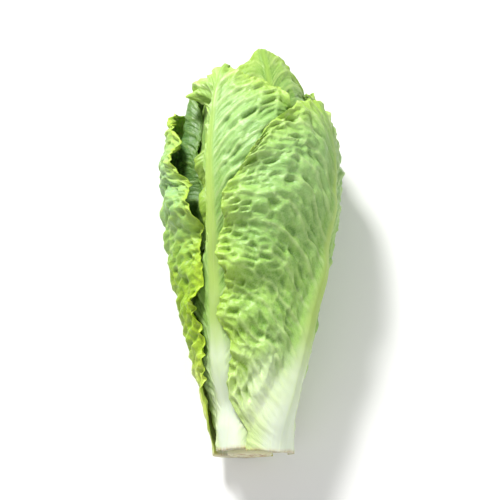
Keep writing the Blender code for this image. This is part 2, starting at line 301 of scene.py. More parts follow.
def waves(x, y, seed, count=5):
    """A smooth uneven surface between about -1 and 1: crossed waves of unlike lengths."""
    draw = np.random.default_rng(seed)
    total = 0.0
    for _ in range(count):
        heading = draw.uniform(0, math.tau)
        length = draw.uniform(0.7, 1.5)
        phase = draw.uniform(0, math.tau)
        along = (x * math.cos(heading) + y * math.sin(heading)) / length
        total = total + np.sin(math.tau * along + phase)
    return total / math.sqrt(count)


def scatter(i, j, seed):
    """A number between 0 and 1 for each pair of whole numbers, the same each time.

    Large odd numbers stir the pair and the seed together, and then the bits with one another.
    """
    kept_bits = 0xFFFFFFFF
    mixed = i.astype(np.int64) * 374761393 + j.astype(np.int64) * 668265263 + seed * 974634777
    mixed = mixed & kept_bits
    mixed = ((mixed ^ (mixed >> 13)) * 1274126177) & kept_bits
    return (mixed ^ (mixed >> 16)) / 2.0**32


def rumple(x, y, seed):
    """A smooth random surface between -1 and 1 whose bumps are about one unit apart."""
    x, y = np.broadcast_arrays(x, y)
    i, j = np.floor(x), np.floor(y)
    a, b = smooth_step(x - i), smooth_step(y - j)
    low = scatter(i, j, seed) * (1 - a) + scatter(i + 1, j, seed) * a
    high = scatter(i, j + 1, seed) * (1 - a) + scatter(i + 1, j + 1, seed) * a
    return 2 * (low * (1 - b) + high * b) - 1


def bites(run, lanes, lengths, seed):
    """How far an edge stands out along its run: coarse bites, and finer ones on them."""
    coarse = rumple(run / lengths[0], lanes[0], seed)
    return coarse + FINER_BITES * rumple(run / lengths[1], lanes[1], seed + FINER_BITE_STEP)


def cells(x, y, seed):
    """Splits the plane into uneven cells about one unit wide.

    Returns how far inside its cell each point is, 0 on a border, how far up it from the middle, and a
    random number for each cell.
    """
    i, j = np.floor(x), np.floor(y)
    far_away = 9.0
    nearest = np.full(x.shape, far_away)
    second = np.full(x.shape, far_away)
    rise = np.zeros(x.shape)
    number = np.zeros(x.shape)
    for a in (-1, 0, 1):
        for b in (-1, 0, 1):
            centre_x = i + a + 0.1 + 0.8 * scatter(i + a, j + b, seed)
            centre_y = j + b + 0.1 + 0.8 * scatter(i + a, j + b, seed + 1)
            away = np.hypot(x - centre_x, y - centre_y)
            closer = away < nearest
            second = np.where(closer, nearest, np.minimum(second, away))
            rise = np.where(closer, x - centre_x, rise)
            number = np.where(closer, scatter(i + a, j + b, seed + 2), number)
            nearest = np.minimum(nearest, away)
    return second - nearest, rise, number


def softened(grid):
    """The grid with each point drawn towards its neighbours, so that the mesh can show its folds."""
    around = np.pad(grid, 1, mode="edge")
    along = (around[:-2] + 4 * around[1:-1] + around[2:]) / 6
    return (along[:, :-2] + 4 * along[:, 1:-1] + along[:, 2:]) / 6


def greater(a, b, round_off):
    """The greater of the two, with a rounded turn from one to the other."""
    return 0.5 * (a + b + np.sqrt((a - b) ** 2 + round_off**2))


# The straight heart

def stem_radius(height):
    return np.where(height < STEM_TIP, through(STEM_OUTLINE, height), 0.0)


def shell_radius(leaf, height):
    """Where the leaf would lie with nothing under it: from the stem out to its own share of the heart."""
    root = float(stem_radius(leaf.base)) + LEAF_GAP
    open_share = smooth_step((height - leaf.base) / STEM_BLEND)
    return root + (leaf.share * through(HEART_OUTLINE, height) - root) * open_share


def rib_half_width(leaf, v):
    return leaf.rib_scale * RIB_HALF_WIDTH * (1 - v) ** 1.25 + RIB_END_HALF_WIDTH


def rib_depth(leaf, v):
    return leaf.rib_scale * RIB_DEPTH * (1 - v) ** 1.3 + RIB_END_DEPTH


def under_share(angle):
    """1 on the underside of the heart, and 0 away from it."""
    from_below = np.abs(np.mod(angle, math.tau) - math.pi)
    return 1 - smooth_step(from_below / PRESSED_SPREAD - 1)


def straight_points(radius, angle, height):
    return np.stack([radius * np.sin(angle), height + 0 * radius, radius * np.cos(angle)], axis=-1)


def lay_down(points):
    """Carries points of the straight heart to where they lie on the table, in metres, not yet centred."""
    height = points[..., 1]
    from_below = np.arctan2(np.abs(points[..., 0]), -points[..., 2])
    pressed = 1 - PRESSED_SHARE * bell(from_below, PRESSED_ANGLE)
    return np.stack([
        points[..., 0] * pressed,
        height,
        through(AXIS_HEIGHT, height) + points[..., 2] * pressed * UPRIGHT_SHARE,
    ], axis=-1) * MM


def stem_rings(rings, radii, sides):
    angle = np.arange(sides) * math.tau / sides
    return np.stack([
        straight_points(np.full(sides, radius), angle, np.full(sides, height))
        for height, radius in zip(rings, radii)
    ])


def shift_to_solids():
    """How far the laid heart moves to lie on the solids: the stem's box there against its box here."""
    rings, radii = zip(*STEM_OUTLINE)
    here = lay_down(stem_rings(rings, radii, STEM_SIDES).reshape(-1, 3))
    low_here = here.min(axis=0)
    low_there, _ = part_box("stem")
    return np.array(low_there) - np.array([low_here[0], 0.0, low_here[2]])


# One leaf's layout

def half_blades(leaf, v, side):
    """How wide each half-blade is at each height: what it would be whole, and what it is."""
    uneven = waves(5 * v + side, side * 2.0, MARGIN_SEED + leaf.order)
    uneven = 1 + MARGIN_UNEVEN * smooth_step(v / 0.3) * uneven
    least = rib_half_width(leaf, v) + LEAST_BLADE
    half_share = np.where(side < 0, leaf.left, leaf.right)
    whole = leaf.half_width * half_share * through(BLADE_OUTLINE, v) * uneven
    whole = np.maximum(whole, least)
    has_gap = (side < 0) & (leaf.order == GAP_ORDER)
    beside_gap = np.maximum(whole * through(GAP_OUTLINE, v), least - LEAST_BLADE + 1)
    width = np.where(has_gap, beside_gap, whole)
    bitten = bites(v * leaf.length, (side * 3.5, side * 7.5), BITE_LENGTHS, BITE_SEED + leaf.order)
    return whole, width + BITE_DEPTH * leaf.size * smooth_step(v / 0.25) * bitten


class Layout:
    """The grid of points over a leaf: it runs across the leaf from one margin to the other, and up it.

    Across the leaf, arc is the distance from the middle of the rib and u the share of the whole half
    width. Up it, along is the distance from its base and v the share of its length.
    """

    def __init__(self, leaf):
        rows = round(leaf.length / leaf.spacing)
        columns = 2 * round(leaf.half_width / leaf.spacing)
        across = np.linspace(-1, 1, columns + 1)[None, :]
        v = np.linspace(0, 1, rows + 1)[:, None]
        side = np.where(across < 0, -1, 1)
        whole, width = half_blades(leaf, v, side)
        self.arc = across * width
        self.u = self.arc / whole
        self.half_width = leaf.half_width
        lobes = TIP_UNEVEN * v**6 * waves(1.3 * self.u, 0 * self.u, TIP_SEED + leaf.order)
        tip_bites = bites(self.arc, (0.5, 0.5), TIP_BITE_LENGTHS, TIP_BITE_SEED + leaf.order)
        self.height = leaf.base + leaf.length * (v - TIP_DROOP * v**2 * self.u**2 + lobes)
        self.height = self.height + TIP_BITE_DEPTH * leaf.size * v**12 * tip_bites
        round_heart = self.arc / (shell_radius(leaf, self.height) + 1.0)
        wrap = WIDEST_WRAP * np.tanh(round_heart / WIDEST_WRAP)
        turn = math.radians(leaf.twist) * (smooth_step(v / 0.7) - 0.5)
        self.angle = leaf.azimuth + turn + wrap
        self.v = v + 0 * across
        self.side = side + 0 * v
        self.off_rib = np.abs(self.arc)
        self.along = self.v * leaf.length
        to_side = (1 - np.abs(across)) * width
        to_tip = (1 - self.v) * leaf.length
        self.to_margin = np.sqrt(to_side**2 * to_tip**2 / (to_side**2 + to_tip**2 + 0.01))
        # Where a side vein that passes through the point left the rib, and how steeply it crosses there.
        reach = self.off_rib / leaf.size
        bent = np.exp(-reach / VEIN_BEND)
        climbed = VEIN_FAR_SLOPE * reach + VEIN_NEAR_SLOPE * VEIN_BEND * (1 - bent)
        self.vein_foot = self.along - leaf.size * climbed
        self.vein_slope = VEIN_FAR_SLOPE + VEIN_NEAR_SLOPE * bent


def blade_waves(leaf, at):
    """How far the blade stands out from its shell: slow swells, and ruffles towards the margin."""
    across, along = SWELL_LENGTHS
    swell = 1 + waves(at.arc / across, at.height / along, SWELL_SEED + leaf.order)
    swell = SWELL_HEIGHT * smooth_step(at.v / 0.35) * swell * smooth_step(np.abs(at.u) / 0.35)
    side = np.sign(at.u)
    phase = waves(at.height / 90, side, RUFFLE_SEED + leaf.order, 3) * 1.4 + 2.1 * side
    ruffle = np.sin(math.tau * at.height / RUFFLE_LENGTH + phase)
    free = 1 - under_share(at.angle)
    margin = np.abs(at.u) ** 3 * smooth_step((at.v - 0.12) / 0.5) * free
    curled = (at.side > 0) * smooth_step((at.u - CURL_FROM_RIB) / (1 - CURL_FROM_RIB))
    curled = curled * smooth_step((at.v - CURL_FROM_BASE) / CURL_RAMP)
    stands_out = swell + leaf.ruffle * margin * (0.8 + ruffle) + leaf.lean * at.v**5
    stands_out = stands_out - leaf.curl * curled
    if leaf.order != GAP_ORDER:
        return stands_out
    beyond_rib = np.maximum(at.off_rib - 0.6 * rib_half_width(leaf, at.v), 0) * (at.side < 0)
    folded = smooth_step((at.v - FOLD_FROM) / FOLD_RAMP) * smooth_step((FOLD_TO - at.v) / FOLD_RAMP)
    return stands_out - FOLD_SLOPE * beyond_rib * folded


def frills(leaf, at):
    """The uneven small frill of the margin."""
    seed = FRILL_SEED + leaf.order
    wander = rumple(at.along / FRILL_WANDER_LENGTH, at.arc / FRILL_WANDER_LENGTH, seed)
    run = (at.along + 0.9 * at.arc + FRILL_WANDER * wander) / FRILL_LENGTH
    lift = np.sin(math.tau * run) + 0.8 * rumple(run * 2.1, at.side * 5.5, seed + 10)
    lift = lift * (0.65 + 0.5 * rumple(at.along / FRILL_CHANGE_LENGTH, at.side * 2.5, seed + 20))
    at_margin = np.exp(-at.to_margin / FRILL_REACH) * smooth_step((at.v - 0.06) / 0.2)
    at_margin = at_margin * (1 - 0.8 * under_share(at.angle))
    clear_of_rib = smooth_step((at.off_rib - rib_half_width(leaf, at.v)) / FRILL_CLEAR_OF_RIB)
    clear_of_middle = smooth_step(at.off_rib / at.half_width / 0.4)
    return FRILL_HEIGHT * leaf.pucker * lift * at_margin * clear_of_rib * clear_of_middle


class Relief:
    """The puckers, wrinkles and veins of a blade, in millimetres, and the marks that colour it by them:
    pale veins, and painted shade in the pits and creases.
    """

    def __init__(self, leaf, at):
        seed = RELIEF_SEED + 20 * leaf.order
        size = 0.45 + 0.55 * leaf.size
        rib_edge = rib_half_width(leaf, at.v)
        share = smooth_step((at.off_rib - 0.8 * rib_edge) / (15 * leaf.size * (1 - 0.5 * at.v)))
        share = share * (0.10 + 0.90 * smooth_step((at.v - 0.04) / 0.16))
        crowded = 1 + 0.35 * np.exp(-at.to_margin / MARGIN_REACH)
        wide, fine = VEIN_STRAY_LENGTH, FINE_STRAY_LENGTH
        stray = VEIN_STRAY * rumple(at.along / wide, at.arc / wide, seed)
        stray = stray + FINE_STRAY * rumple(at.along / fine, at.arc / fine, seed + 1)
        foot = at.vein_foot + stray
        far = at.off_rib * at.side
        # Puckers: hollows between a net of small veins, drawn out along the side veins.
        across, along = foot / (PIT_ACROSS_VEIN * size), far / (PIT_ALONG_VEIN * size)
        inside, rise, number = cells(across + 50, along + 50, seed + 3)
        hollow = smooth_step(inside / 0.5)
        is_dome = number > DOMES_FROM
        shape = np.where(is_dome, -DOME_SHARE, 1 + PIT_SLANT * rise)
        pits = -PIT_DEPTH * size * hollow * shape * (0.2 + 0.9 * number)
        small = cells(across * SMALL_PITS + 90, along * SMALL_PITS + 90, seed + 9)
        small = smooth_step(small[0] / 0.5) * (1 + PIT_SLANT * small[1]) * small[2]
        pits = pits - SMALL_PIT_DEPTH * size * small
        # Wrinkles: long folds that run with the side veins.
        wide, fine = WRINKLE_SIZE, FINE_WRINKLE_SIZE
        fold = rumple(foot / (wide[0] * size), far / wide[1], seed + 6)
        fold = fold + 0.35 * rumple(foot / (fine[0] * size), far / fine[1], seed + 7)
        fold = 0.45 - np.abs(fold)
        wrinkles = WRINKLE_HEIGHT * size * 2.0 * fold
        puffs = PUFF_HEIGHT * size * rumple(foot / PUFF_SIZE[0], far / PUFF_SIZE[1], seed + 8)
        # Only the tops of the leaves inside show, so they are nearly plain below.
        is_outside = leaf.slot == "outer_leaf"
        shows = 1.0 if is_outside else 0.15 + 0.60 * smooth_step((at.v - 0.60) / 0.3)
        strength = leaf.pucker * share * crowded * shows
        self.height = softened(strength * (pits + wrinkles + puffs - SUNK_BY))
        self.deepest = strength * (PIT_DEPTH + WRINKLE_HEIGHT) * size
        # Side veins stand out of the outer face only.
        starts = smooth_step((at.off_rib - 0.3 * rib_edge) / (0.7 * rib_edge))
        spacing = VEIN_SPACING * size
        main = vein_lines(at, foot, spacing, VEIN_HALF_WIDTH * size, VEIN_REACH * size)
        fine = vein_lines(at, foot, spacing / FINE_VEINS, FINE_VEIN_HALF_WIDTH * size,
                          FINE_VEIN_REACH * size)
        net = bell(inside, 0.13) * share
        self.veins = size * starts * (VEIN_HEIGHT * main + FINE_VEIN_HEIGHT * fine) + NET_HEIGHT * net
        self.vein_mark = np.clip(starts * (main + 0.5 * fine) + 0.35 * net, 0, 1)
        # Painted shade: the upper side of each pit, under the ridge that would shade it, and the creases
        # between the wrinkles, for the finish to colour a deeper green.
        shaded_crescent = hollow * smooth_step(0.5 + 1.6 * rise) * ~is_dome * number
        self.pit_shade_mark = share * np.clip(1.2 * shaded_crescent - 0.4 * fold, 0, 1)


def vein_lines(at, foot, spacing, half_width, reach):
    """1 on the middle of each side vein, fading across it and out along it."""
    place = foot / spacing
    away = np.abs(place - np.rint(place)) * spacing / np.sqrt(1 + at.vein_slope**2)
    return bell(away, half_width) * np.exp(-at.off_rib / reach)


def leaf_thickness(leaf, at, relief):
    """From the inner face to the outer one: the thin blade, the rib with its grooves, and the veins."""
    across = at.off_rib / rib_half_width(leaf, at.v)
    rib = np.cos(0.5 * math.pi * np.clip(across / 1.25, 0, 1)) ** 1.4
    shoulder = 0.12 * bell(across, 1.7) - 0.16 * bell(across - 1.45, 0.35)
    depth = rib_depth(leaf, at.v)
    seed = GROOVE_SEED + leaf.order
    wide, fine = GROOVE_SIZE, FINE_GROOVE_SIZE
    grooves = GROOVE_DEPTH * rumple(at.arc / wide[0], at.along / wide[1], seed)
    grooves = grooves + FINE_GROOVE_DEPTH * rumple(at.arc / fine[0], at.along / fine[1], seed + 20)
    grooves = grooves * smooth_step(2.2 - across) * np.minimum(depth, 1.5)
    blade = FINE_THICKNESS - MARGIN_THICKNESS
    blade = MARGIN_THICKNESS + blade * smooth_step(at.to_margin / MARGIN_REACH)
    return blade + depth * (rib + shoulder) + grooves + relief.veins


# Stacking the leaves

class Stack:
    """The radius that the heart built so far reaches, at each angle and height."""

    def __init__(self):
        self.reach = np.zeros((STACK_ANGLES, STACK_HEIGHTS))

    def add(self, points):
        turn = np.arctan2(points[..., 0], points[..., 2]) / math.tau * STACK_ANGLES
        i = np.rint(turn).astype(int) % STACK_ANGLES
        j = np.clip(np.rint(points[..., 1] / STACK_STEP).astype(int), 0, STACK_HEIGHTS - 1)
        radius = np.hypot(points[..., 0], points[..., 2])
        np.maximum.at(self.reach, (i.ravel(), j.ravel()), radius.ravel())

    def cover(self, reach, angle, height):
        """A smooth cover over the heart so far, nowhere below it, read at these angles and heights.

        It spans hollows up to twice the reach wide, which is in grid steps round the heart and along it.
        """
        even = self.reach
        for combine in (np.maximum.reduce, lambda shifted: sum(shifted) / len(shifted)):
            for axis, mode in ((0, "wrap"), (1, "edge")):
                even = sliding(even, reach[axis], axis, mode, combine)
        turn = angle / math.tau * STACK_ANGLES
        rise = np.clip(height / STACK_STEP, 0, STACK_HEIGHTS - 1.001)
        i, j = np.floor(turn).astype(int), np.floor(rise).astype(int)
        a, b = turn - i, rise - j
        i, k = i % STACK_ANGLES, (i + 1) % STACK_ANGLES
        low = even[i, j] * (1 - a) + even[k, j] * a
        high = even[i, j + 1] * (1 - a) + even[k, j + 1] * a
        return low * (1 - b) + high * b


def sliding(grid, reach, axis, mode, combine):
    """Combines each point of the grid with its neighbours up to the reach away along one axis."""
    pad = [(0, 0), (0, 0)]
    pad[axis] = (reach, reach)
    padded = np.pad(grid, pad, mode=mode)
    count = grid.shape[axis]
    return combine([padded.take(range(k, k + count), axis=axis) for k in range(2 * reach + 1)])


def outward(points):
    """The unit normal at each point of a grid, facing away from the heart's axis."""
    normal = np.cross(np.gradient(points, axis=0), np.gradient(points, axis=1))
    normal /= np.linalg.norm(normal, axis=-1, keepdims=True) + 1e-12
    from_axis = points * np.array([1, 0, 1])
    return normal * np.sign((normal * from_axis).sum(axis=-1, keepdims=True).mean())


def press_flat(leaf, inner, outer):
    """Flattens what lies below the table's top, and lays the second leaf on the first one's margin."""
    covered = smooth_step((inner[..., 0] / MM - COVERED_FROM) / COVERED_RAMP) * leaf.order
    floor = (BLADE_THICKNESS + LEAF_GAP) * MM * covered
    inner[..., 2] = np.maximum(inner[..., 2], floor + FINE_THICKNESS * MM)
    outer[..., 2] = np.maximum(outer[..., 2], floor)


def drape_leaf(leaf, stack, shift):
    """The inner and outer face of the leaf as it lies on the table, and its layout and relief."""
    at = Layout(leaf)
    relief = Relief(leaf, at)
    loose = PRESSED_ROOM * under_share(at.angle) if leaf.on_table else 0.0
    under = stack.cover(TIGHT_REACH, at.angle, at.height) + FINE_GAP + loose
    bridged = stack.cover(BRIDGED_REACH, at.angle, at.height) + FINE_GAP + loose
    # The rib and the thick foot of the leaf are stiff, and span the bumps of what lies under them.
    foot_to, foot_ramp = FOOT_SPAN
    stiff = bell(at.off_rib, RIB_SPAN * rib_half_width(leaf, at.v))
    stiff = np.maximum(stiff, 1 - smooth_step((at.along - foot_to) / foot_ramp))
    laid_on = under + LIFTED_SHARE * relief.deepest + (bridged - under) * stiff
    resting = shell_radius(leaf, at.height) + blade_waves(leaf, at)
    resting = greater(resting, laid_on, RESTING_ROUND)
    radius = greater(resting + relief.height + frills(leaf, at), under, TOUCHING_ROUND)
    facing = outward(straight_points(resting, at.angle, at.height))
    inner = straight_points(radius, at.angle, at.height)
    outer = inner + facing * leaf_thickness(leaf, at, relief)[..., None]
    stack.add(outer)
    inner, outer = lay_down(inner) + shift, lay_down(outer) + shift
    if leaf.on_table:
        press_flat(leaf, inner, outer)
    return inner, outer, at, relief


# Pieces

def add_piece(name, points, quads, marks, finish, node):
    """Makes the piece, gives it its marks for the finish to read, and has it stand for its solid."""
    mesh = bpy.data.meshes.new(name)
    mesh.from_pydata(points.tolist(), [], quads)
    for mark, values in marks.items():
        is_place = values.ndim == 2
        stored = mesh.attributes.new(mark, "FLOAT_VECTOR" if is_place else "FLOAT", "POINT")
        stored.data.foreach_set("vector" if is_place else "value", values.astype(np.float32).ravel())
    mesh.materials.append(finish)
    mesh.shade_smooth()
    piece = bpy.data.objects.new(name, mesh)
    bpy.context.scene.collection.objects.link(piece)
    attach(piece, "root")
    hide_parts(node)
    return piece


def blade_marks(leaf, at, relief):
    """What the leaf's finish reads at each point of one face. Each mark but leaf_mm runs from 0 to 1."""
    half_width = rib_half_width(leaf, at.v)
    rib_share = 0.6 if leaf.order == GAP_ORDER else 0.8
    marks = {
        "on_rib": np.exp(-((at.off_rib / (rib_share * half_width)) ** 6)),
        # Painted shade along both sides of the rib.
        "rib_side_shade": bell(at.off_rib / half_width - 1.5, 0.6),
        "near_rib": np.exp(-at.off_rib / (1.2 * half_width + 4)),
        "vein": relief.vein_mark,
        # Painted shade in the pits and creases.
        "hollow": relief.pit_shade_mark,
        "up": at.v,
        "margin": 0.3 * np.exp(-at.to_margin / 4) + 0.6 * bell(at.to_margin, MARGIN_REACH),
    }
    marks = {mark: values.ravel() for mark, values in marks.items()}
    # Each leaf reads its own part of the patterns, further off than any leaf is long.
    pattern_step = 230.0
    place = np.stack([at.vein_foot, at.arc, at.along + pattern_step * leaf.order], axis=-1)
    marks["leaf_mm"] = place.reshape(-1, 3)
    return marks


def blade_piece(leaf, stack, shift, finish):
    """The leaf's inner and outer face, and the rim that joins them."""
    inner, outer, at, relief = drape_leaf(leaf, stack, shift)
    rows, columns = at.u.shape
    count = rows * columns
    index = np.arange(count).reshape(rows, columns)
    corners = [index[:-1, :-1], index[:-1, 1:], index[1:, 1:], index[1:, :-1]]
    corners = np.stack(corners, axis=-1).reshape(-1, 4)
    rim = np.concatenate([index[0, :-1], index[:-1, -1], index[-1, :0:-1], index[:0:-1, 0]])
    after = np.roll(rim, -1)
    wall = np.stack([after, after + count, rim + count, rim], axis=-1)
    quads = np.concatenate([corners[:, ::-1], corners + count, wall]).tolist()
    points = np.concatenate([inner.reshape(-1, 3), outer.reshape(-1, 3)])
    marks = {
        mark: np.concatenate([values, values]) for mark, values in blade_marks(leaf, at, relief).items()
    }
    piece = add_piece(f"{leaf.name}_blade", points, quads, marks, finish, leaf.name)


def stem_piece(shift, finish):
    """The cut stem: a face with the rings of its flesh, a slightly rounded cut edge and its sides."""
    sides = 120
    face_radius, crown, face_rings = 11.4, 0.25, 26
    flank_from, flank_to, flank_rings = 0.5, STEM_TIP - 6.5, 40
    widest = 12.2
    face = [
        (crown * (1 - (radius / face_radius) ** 6), radius)
        for radius in np.linspace(0.4, face_radius, face_rings)
    ]
    flank = [(h, float(stem_radius(h))) for h in np.linspace(flank_from, flank_to, flank_rings)]
    rings = np.array(face + flank)
    angle = np.arange(sides) * math.tau / sides
    height = rings[:, 0][:, None] + 0 * angle
    radius = rings[:, 1][:, None] + 0 * angle
    from_middle = radius / widest
    east, north = radius * np.sin(angle), radius * np.cos(angle)
    rough_size, fine_size = 2.4, 0.9
    rough = rumple(east / rough_size, north / rough_size, STEM_SEED)
    fine = rumple(east / fine_size, north / fine_size, STEM_SEED + 1)
    on_face = (np.arange(len(rings)) < len(face))[:, None]
    height = height + on_face * (0.16 * rough + 0.07 * fine)
    radius = radius + (~on_face) * 0.12 * rumple(angle * 9, height / 12, STEM_SEED + 2)
    points = lay_down(straight_points(radius, angle[None, :], height)) + shift
    rows = len(rings)
    index = np.arange(rows * sides).reshape(rows, sides)
    after = np.roll(index, -1, axis=1)
    quads = np.stack([index[:-1], after[:-1], after[1:], index[1:]], axis=-1)
    quads = quads.reshape(-1, 4)[:, ::-1].tolist()
    quads.append(index[0].tolist())
    quads.append(index[-1, ::-1].tolist())
    place = np.stack([radius * np.sin(angle), radius * np.cos(angle), height], axis=-1)
    marks = {
        "from_middle": from_middle.ravel(),
        "cut": (on_face + 0 * angle).ravel(),
        "stem_mm": place.reshape(-1, 3),
    }
    piece = add_piece("stem_cut", points.reshape(-1, 3), quads, marks, finish, "stem")


# Finishes

# Settings that many nodes share, and the sockets of a node that mixes two colours.
SMOOTH = {"interpolation_type": "SMOOTHSTEP"}
TINT = {"data_type": "RGBA"}
TIMES = {"operation": "MULTIPLY"}
TIMES_PLUS = {"operation": "MULTIPLY_ADD"}
MINUS = {"operation": "SUBTRACT"}
SHARE, FIRST, SECOND, MIXED = 0, 6, 7, 2


def colour(hex_code):
    """An sRGB colour such as "7FA845" as the linear one that a shader takes."""
    channels = [int(hex_code[k:k + 2], 16) / 255 for k in (0, 2, 4)]
    linear = (c / 12.92 if c <= 0.04045 else ((c + 0.055) / 1.055) ** 2.4 for c in channels)
    return (*linear, 1.0)


def new_finish(name):
    material = bpy.data.materials.new(name)
    material.use_nodes = True
    return material, material.node_tree, material.node_tree.nodes["Principled BSDF"]


def add_node(tree, kind, settings=None, inputs=None, output=0):
    """Adds a node with its settings, and returns the output asked for.

    An input takes a value, or a link from another node's output.
    """
    made = tree.nodes.new(kind)
    for name, value in (settings or {}).items():
        setattr(made, name, value)
    for name, value in (inputs or {}).items():
        if isinstance(value, bpy.types.NodeSocket):
            tree.links.new(value, made.inputs[name])
        else:
            made.inputs[name].default_value = value
    return made.outputs[output]


def blade_green(tree, tone, mark, slow, mottle, shade, rib_up, bloomed):
    """The colour of the blade beside the rib, from its pale foot to its green top."""
    # The two greens lie in patches, and the deeper one takes over up the leaf.
    patches = add_node(tree, "ShaderNodeMath", {"operation": "ADD"}, {0: slow, 1: mottle})
    patches = add_node(tree, "ShaderNodeMapRange", SMOOTH,
                       {"Value": patches, "From Min": 0.75, "From Max": 1.25})
    lower = add_node(tree, "ShaderNodeMapRange", SMOOTH, {
        "Value": mark["up"], "From Min": 0.35, "From Max": 0.95, "To Min": 1.0, "To Max": 0.35})
    patches = add_node(tree, "ShaderNodeMath", TIMES, {0: patches, 1: lower})
    green = add_node(tree, "ShaderNodeMix", TINT,
                     {SHARE: patches, FIRST: tone["deep"], SECOND: tone["mid"]}, MIXED)
    # The upper blade turns a bluer green. On the lime leaf that blue-green is painted shade with a painted
    # reflection of plastic film.
    upper_tinting = add_node(tree, "ShaderNodeMapRange", SMOOTH,
                    {"Value": mark["up"], "From Min": 0.42, "From Max": 0.85, "To Max": bloomed})
    # The blade pales towards its foot and its rib, where the leaf grew in the dark.
    low = add_node(tree, "ShaderNodeMapRange", SMOOTH,
                   {"Value": shade, "From Min": 0.50, "From Max": 0.14})
    near = add_node(tree, "ShaderNodeMath", TIMES, {0: mark["near_rib"], 1: low})
    near = add_node(tree, "ShaderNodeMath", TIMES, {0: near, 1: low})
    paling = add_node(tree, "ShaderNodeMath", {**TIMES_PLUS, "use_clamp": True},
                      {0: low, 1: 0.55, 2: near})
    foot = add_node(tree, "ShaderNodeMapRange", SMOOTH,
                    {"Value": shade, "From Min": 0.46, "From Max": 0.12})
    for share, part in ((upper_tinting, "bloom"), (paling, "pale"), (foot, "white")):
        green = add_node(tree, "ShaderNodeMix", TINT,
                         {SHARE: share, FIRST: green, SECOND: tone[part]}, MIXED)
    # Painted shade: the shaded sides of the pits, the creases and the sides of the rib are coloured a
    # deeper green. The margin is lime, and veins are pale.
    green = add_node(tree, "ShaderNodeMix", {**TINT, "blend_type": "MULTIPLY"},
                     {SHARE: mark["hollow"], FIRST: green, SECOND: colour("8DB04C")}, MIXED)
    beside = add_node(tree, "ShaderNodeMath", TIMES, {0: mark["rib_side_shade"], 1: rib_up})
    layers = ((mark["margin"], 0.8, "lime"), (beside, 0.8, "deep"), (mark["vein"], 0.4, "pale"))
    for where, strength, part in layers:
        share = add_node(tree, "ShaderNodeMath", TIMES, {0: where, 1: strength})
        green = add_node(tree, "ShaderNodeMix", TINT,
                         {SHARE: share, FIRST: green, SECOND: tone[part]}, MIXED)
    return green


def rib_colour(tree, tone, mark, streaks, rib_up):
    """The rib runs from yellow-green at its tip to white at its foot, with fine streaks along it."""
    rib = add_node(tree, "ShaderNodeMix", TINT,
                   {SHARE: rib_up, FIRST: tone["rib_foot"], SECOND: tone["rib_top"]}, MIXED)
    greened = add_node(tree, "ShaderNodeMapRange", SMOOTH,
                       {"Value": mark["up"], "From Min": 0.6, "From Max": 1.0, "To Max": 0.55})
    streaked = add_node(tree, "ShaderNodeMapRange", {},
                        {"Value": streaks, "From Min": 0.55, "From Max": 0.75, "To Max": 0.35})
    for share, part in ((greened, "deep"), (streaked, "pale")):
        rib = add_node(tree, "ShaderNodeMix", TINT,
                       {SHARE: share, FIRST: rib, SECOND: tone[part]}, MIXED)
    return rib


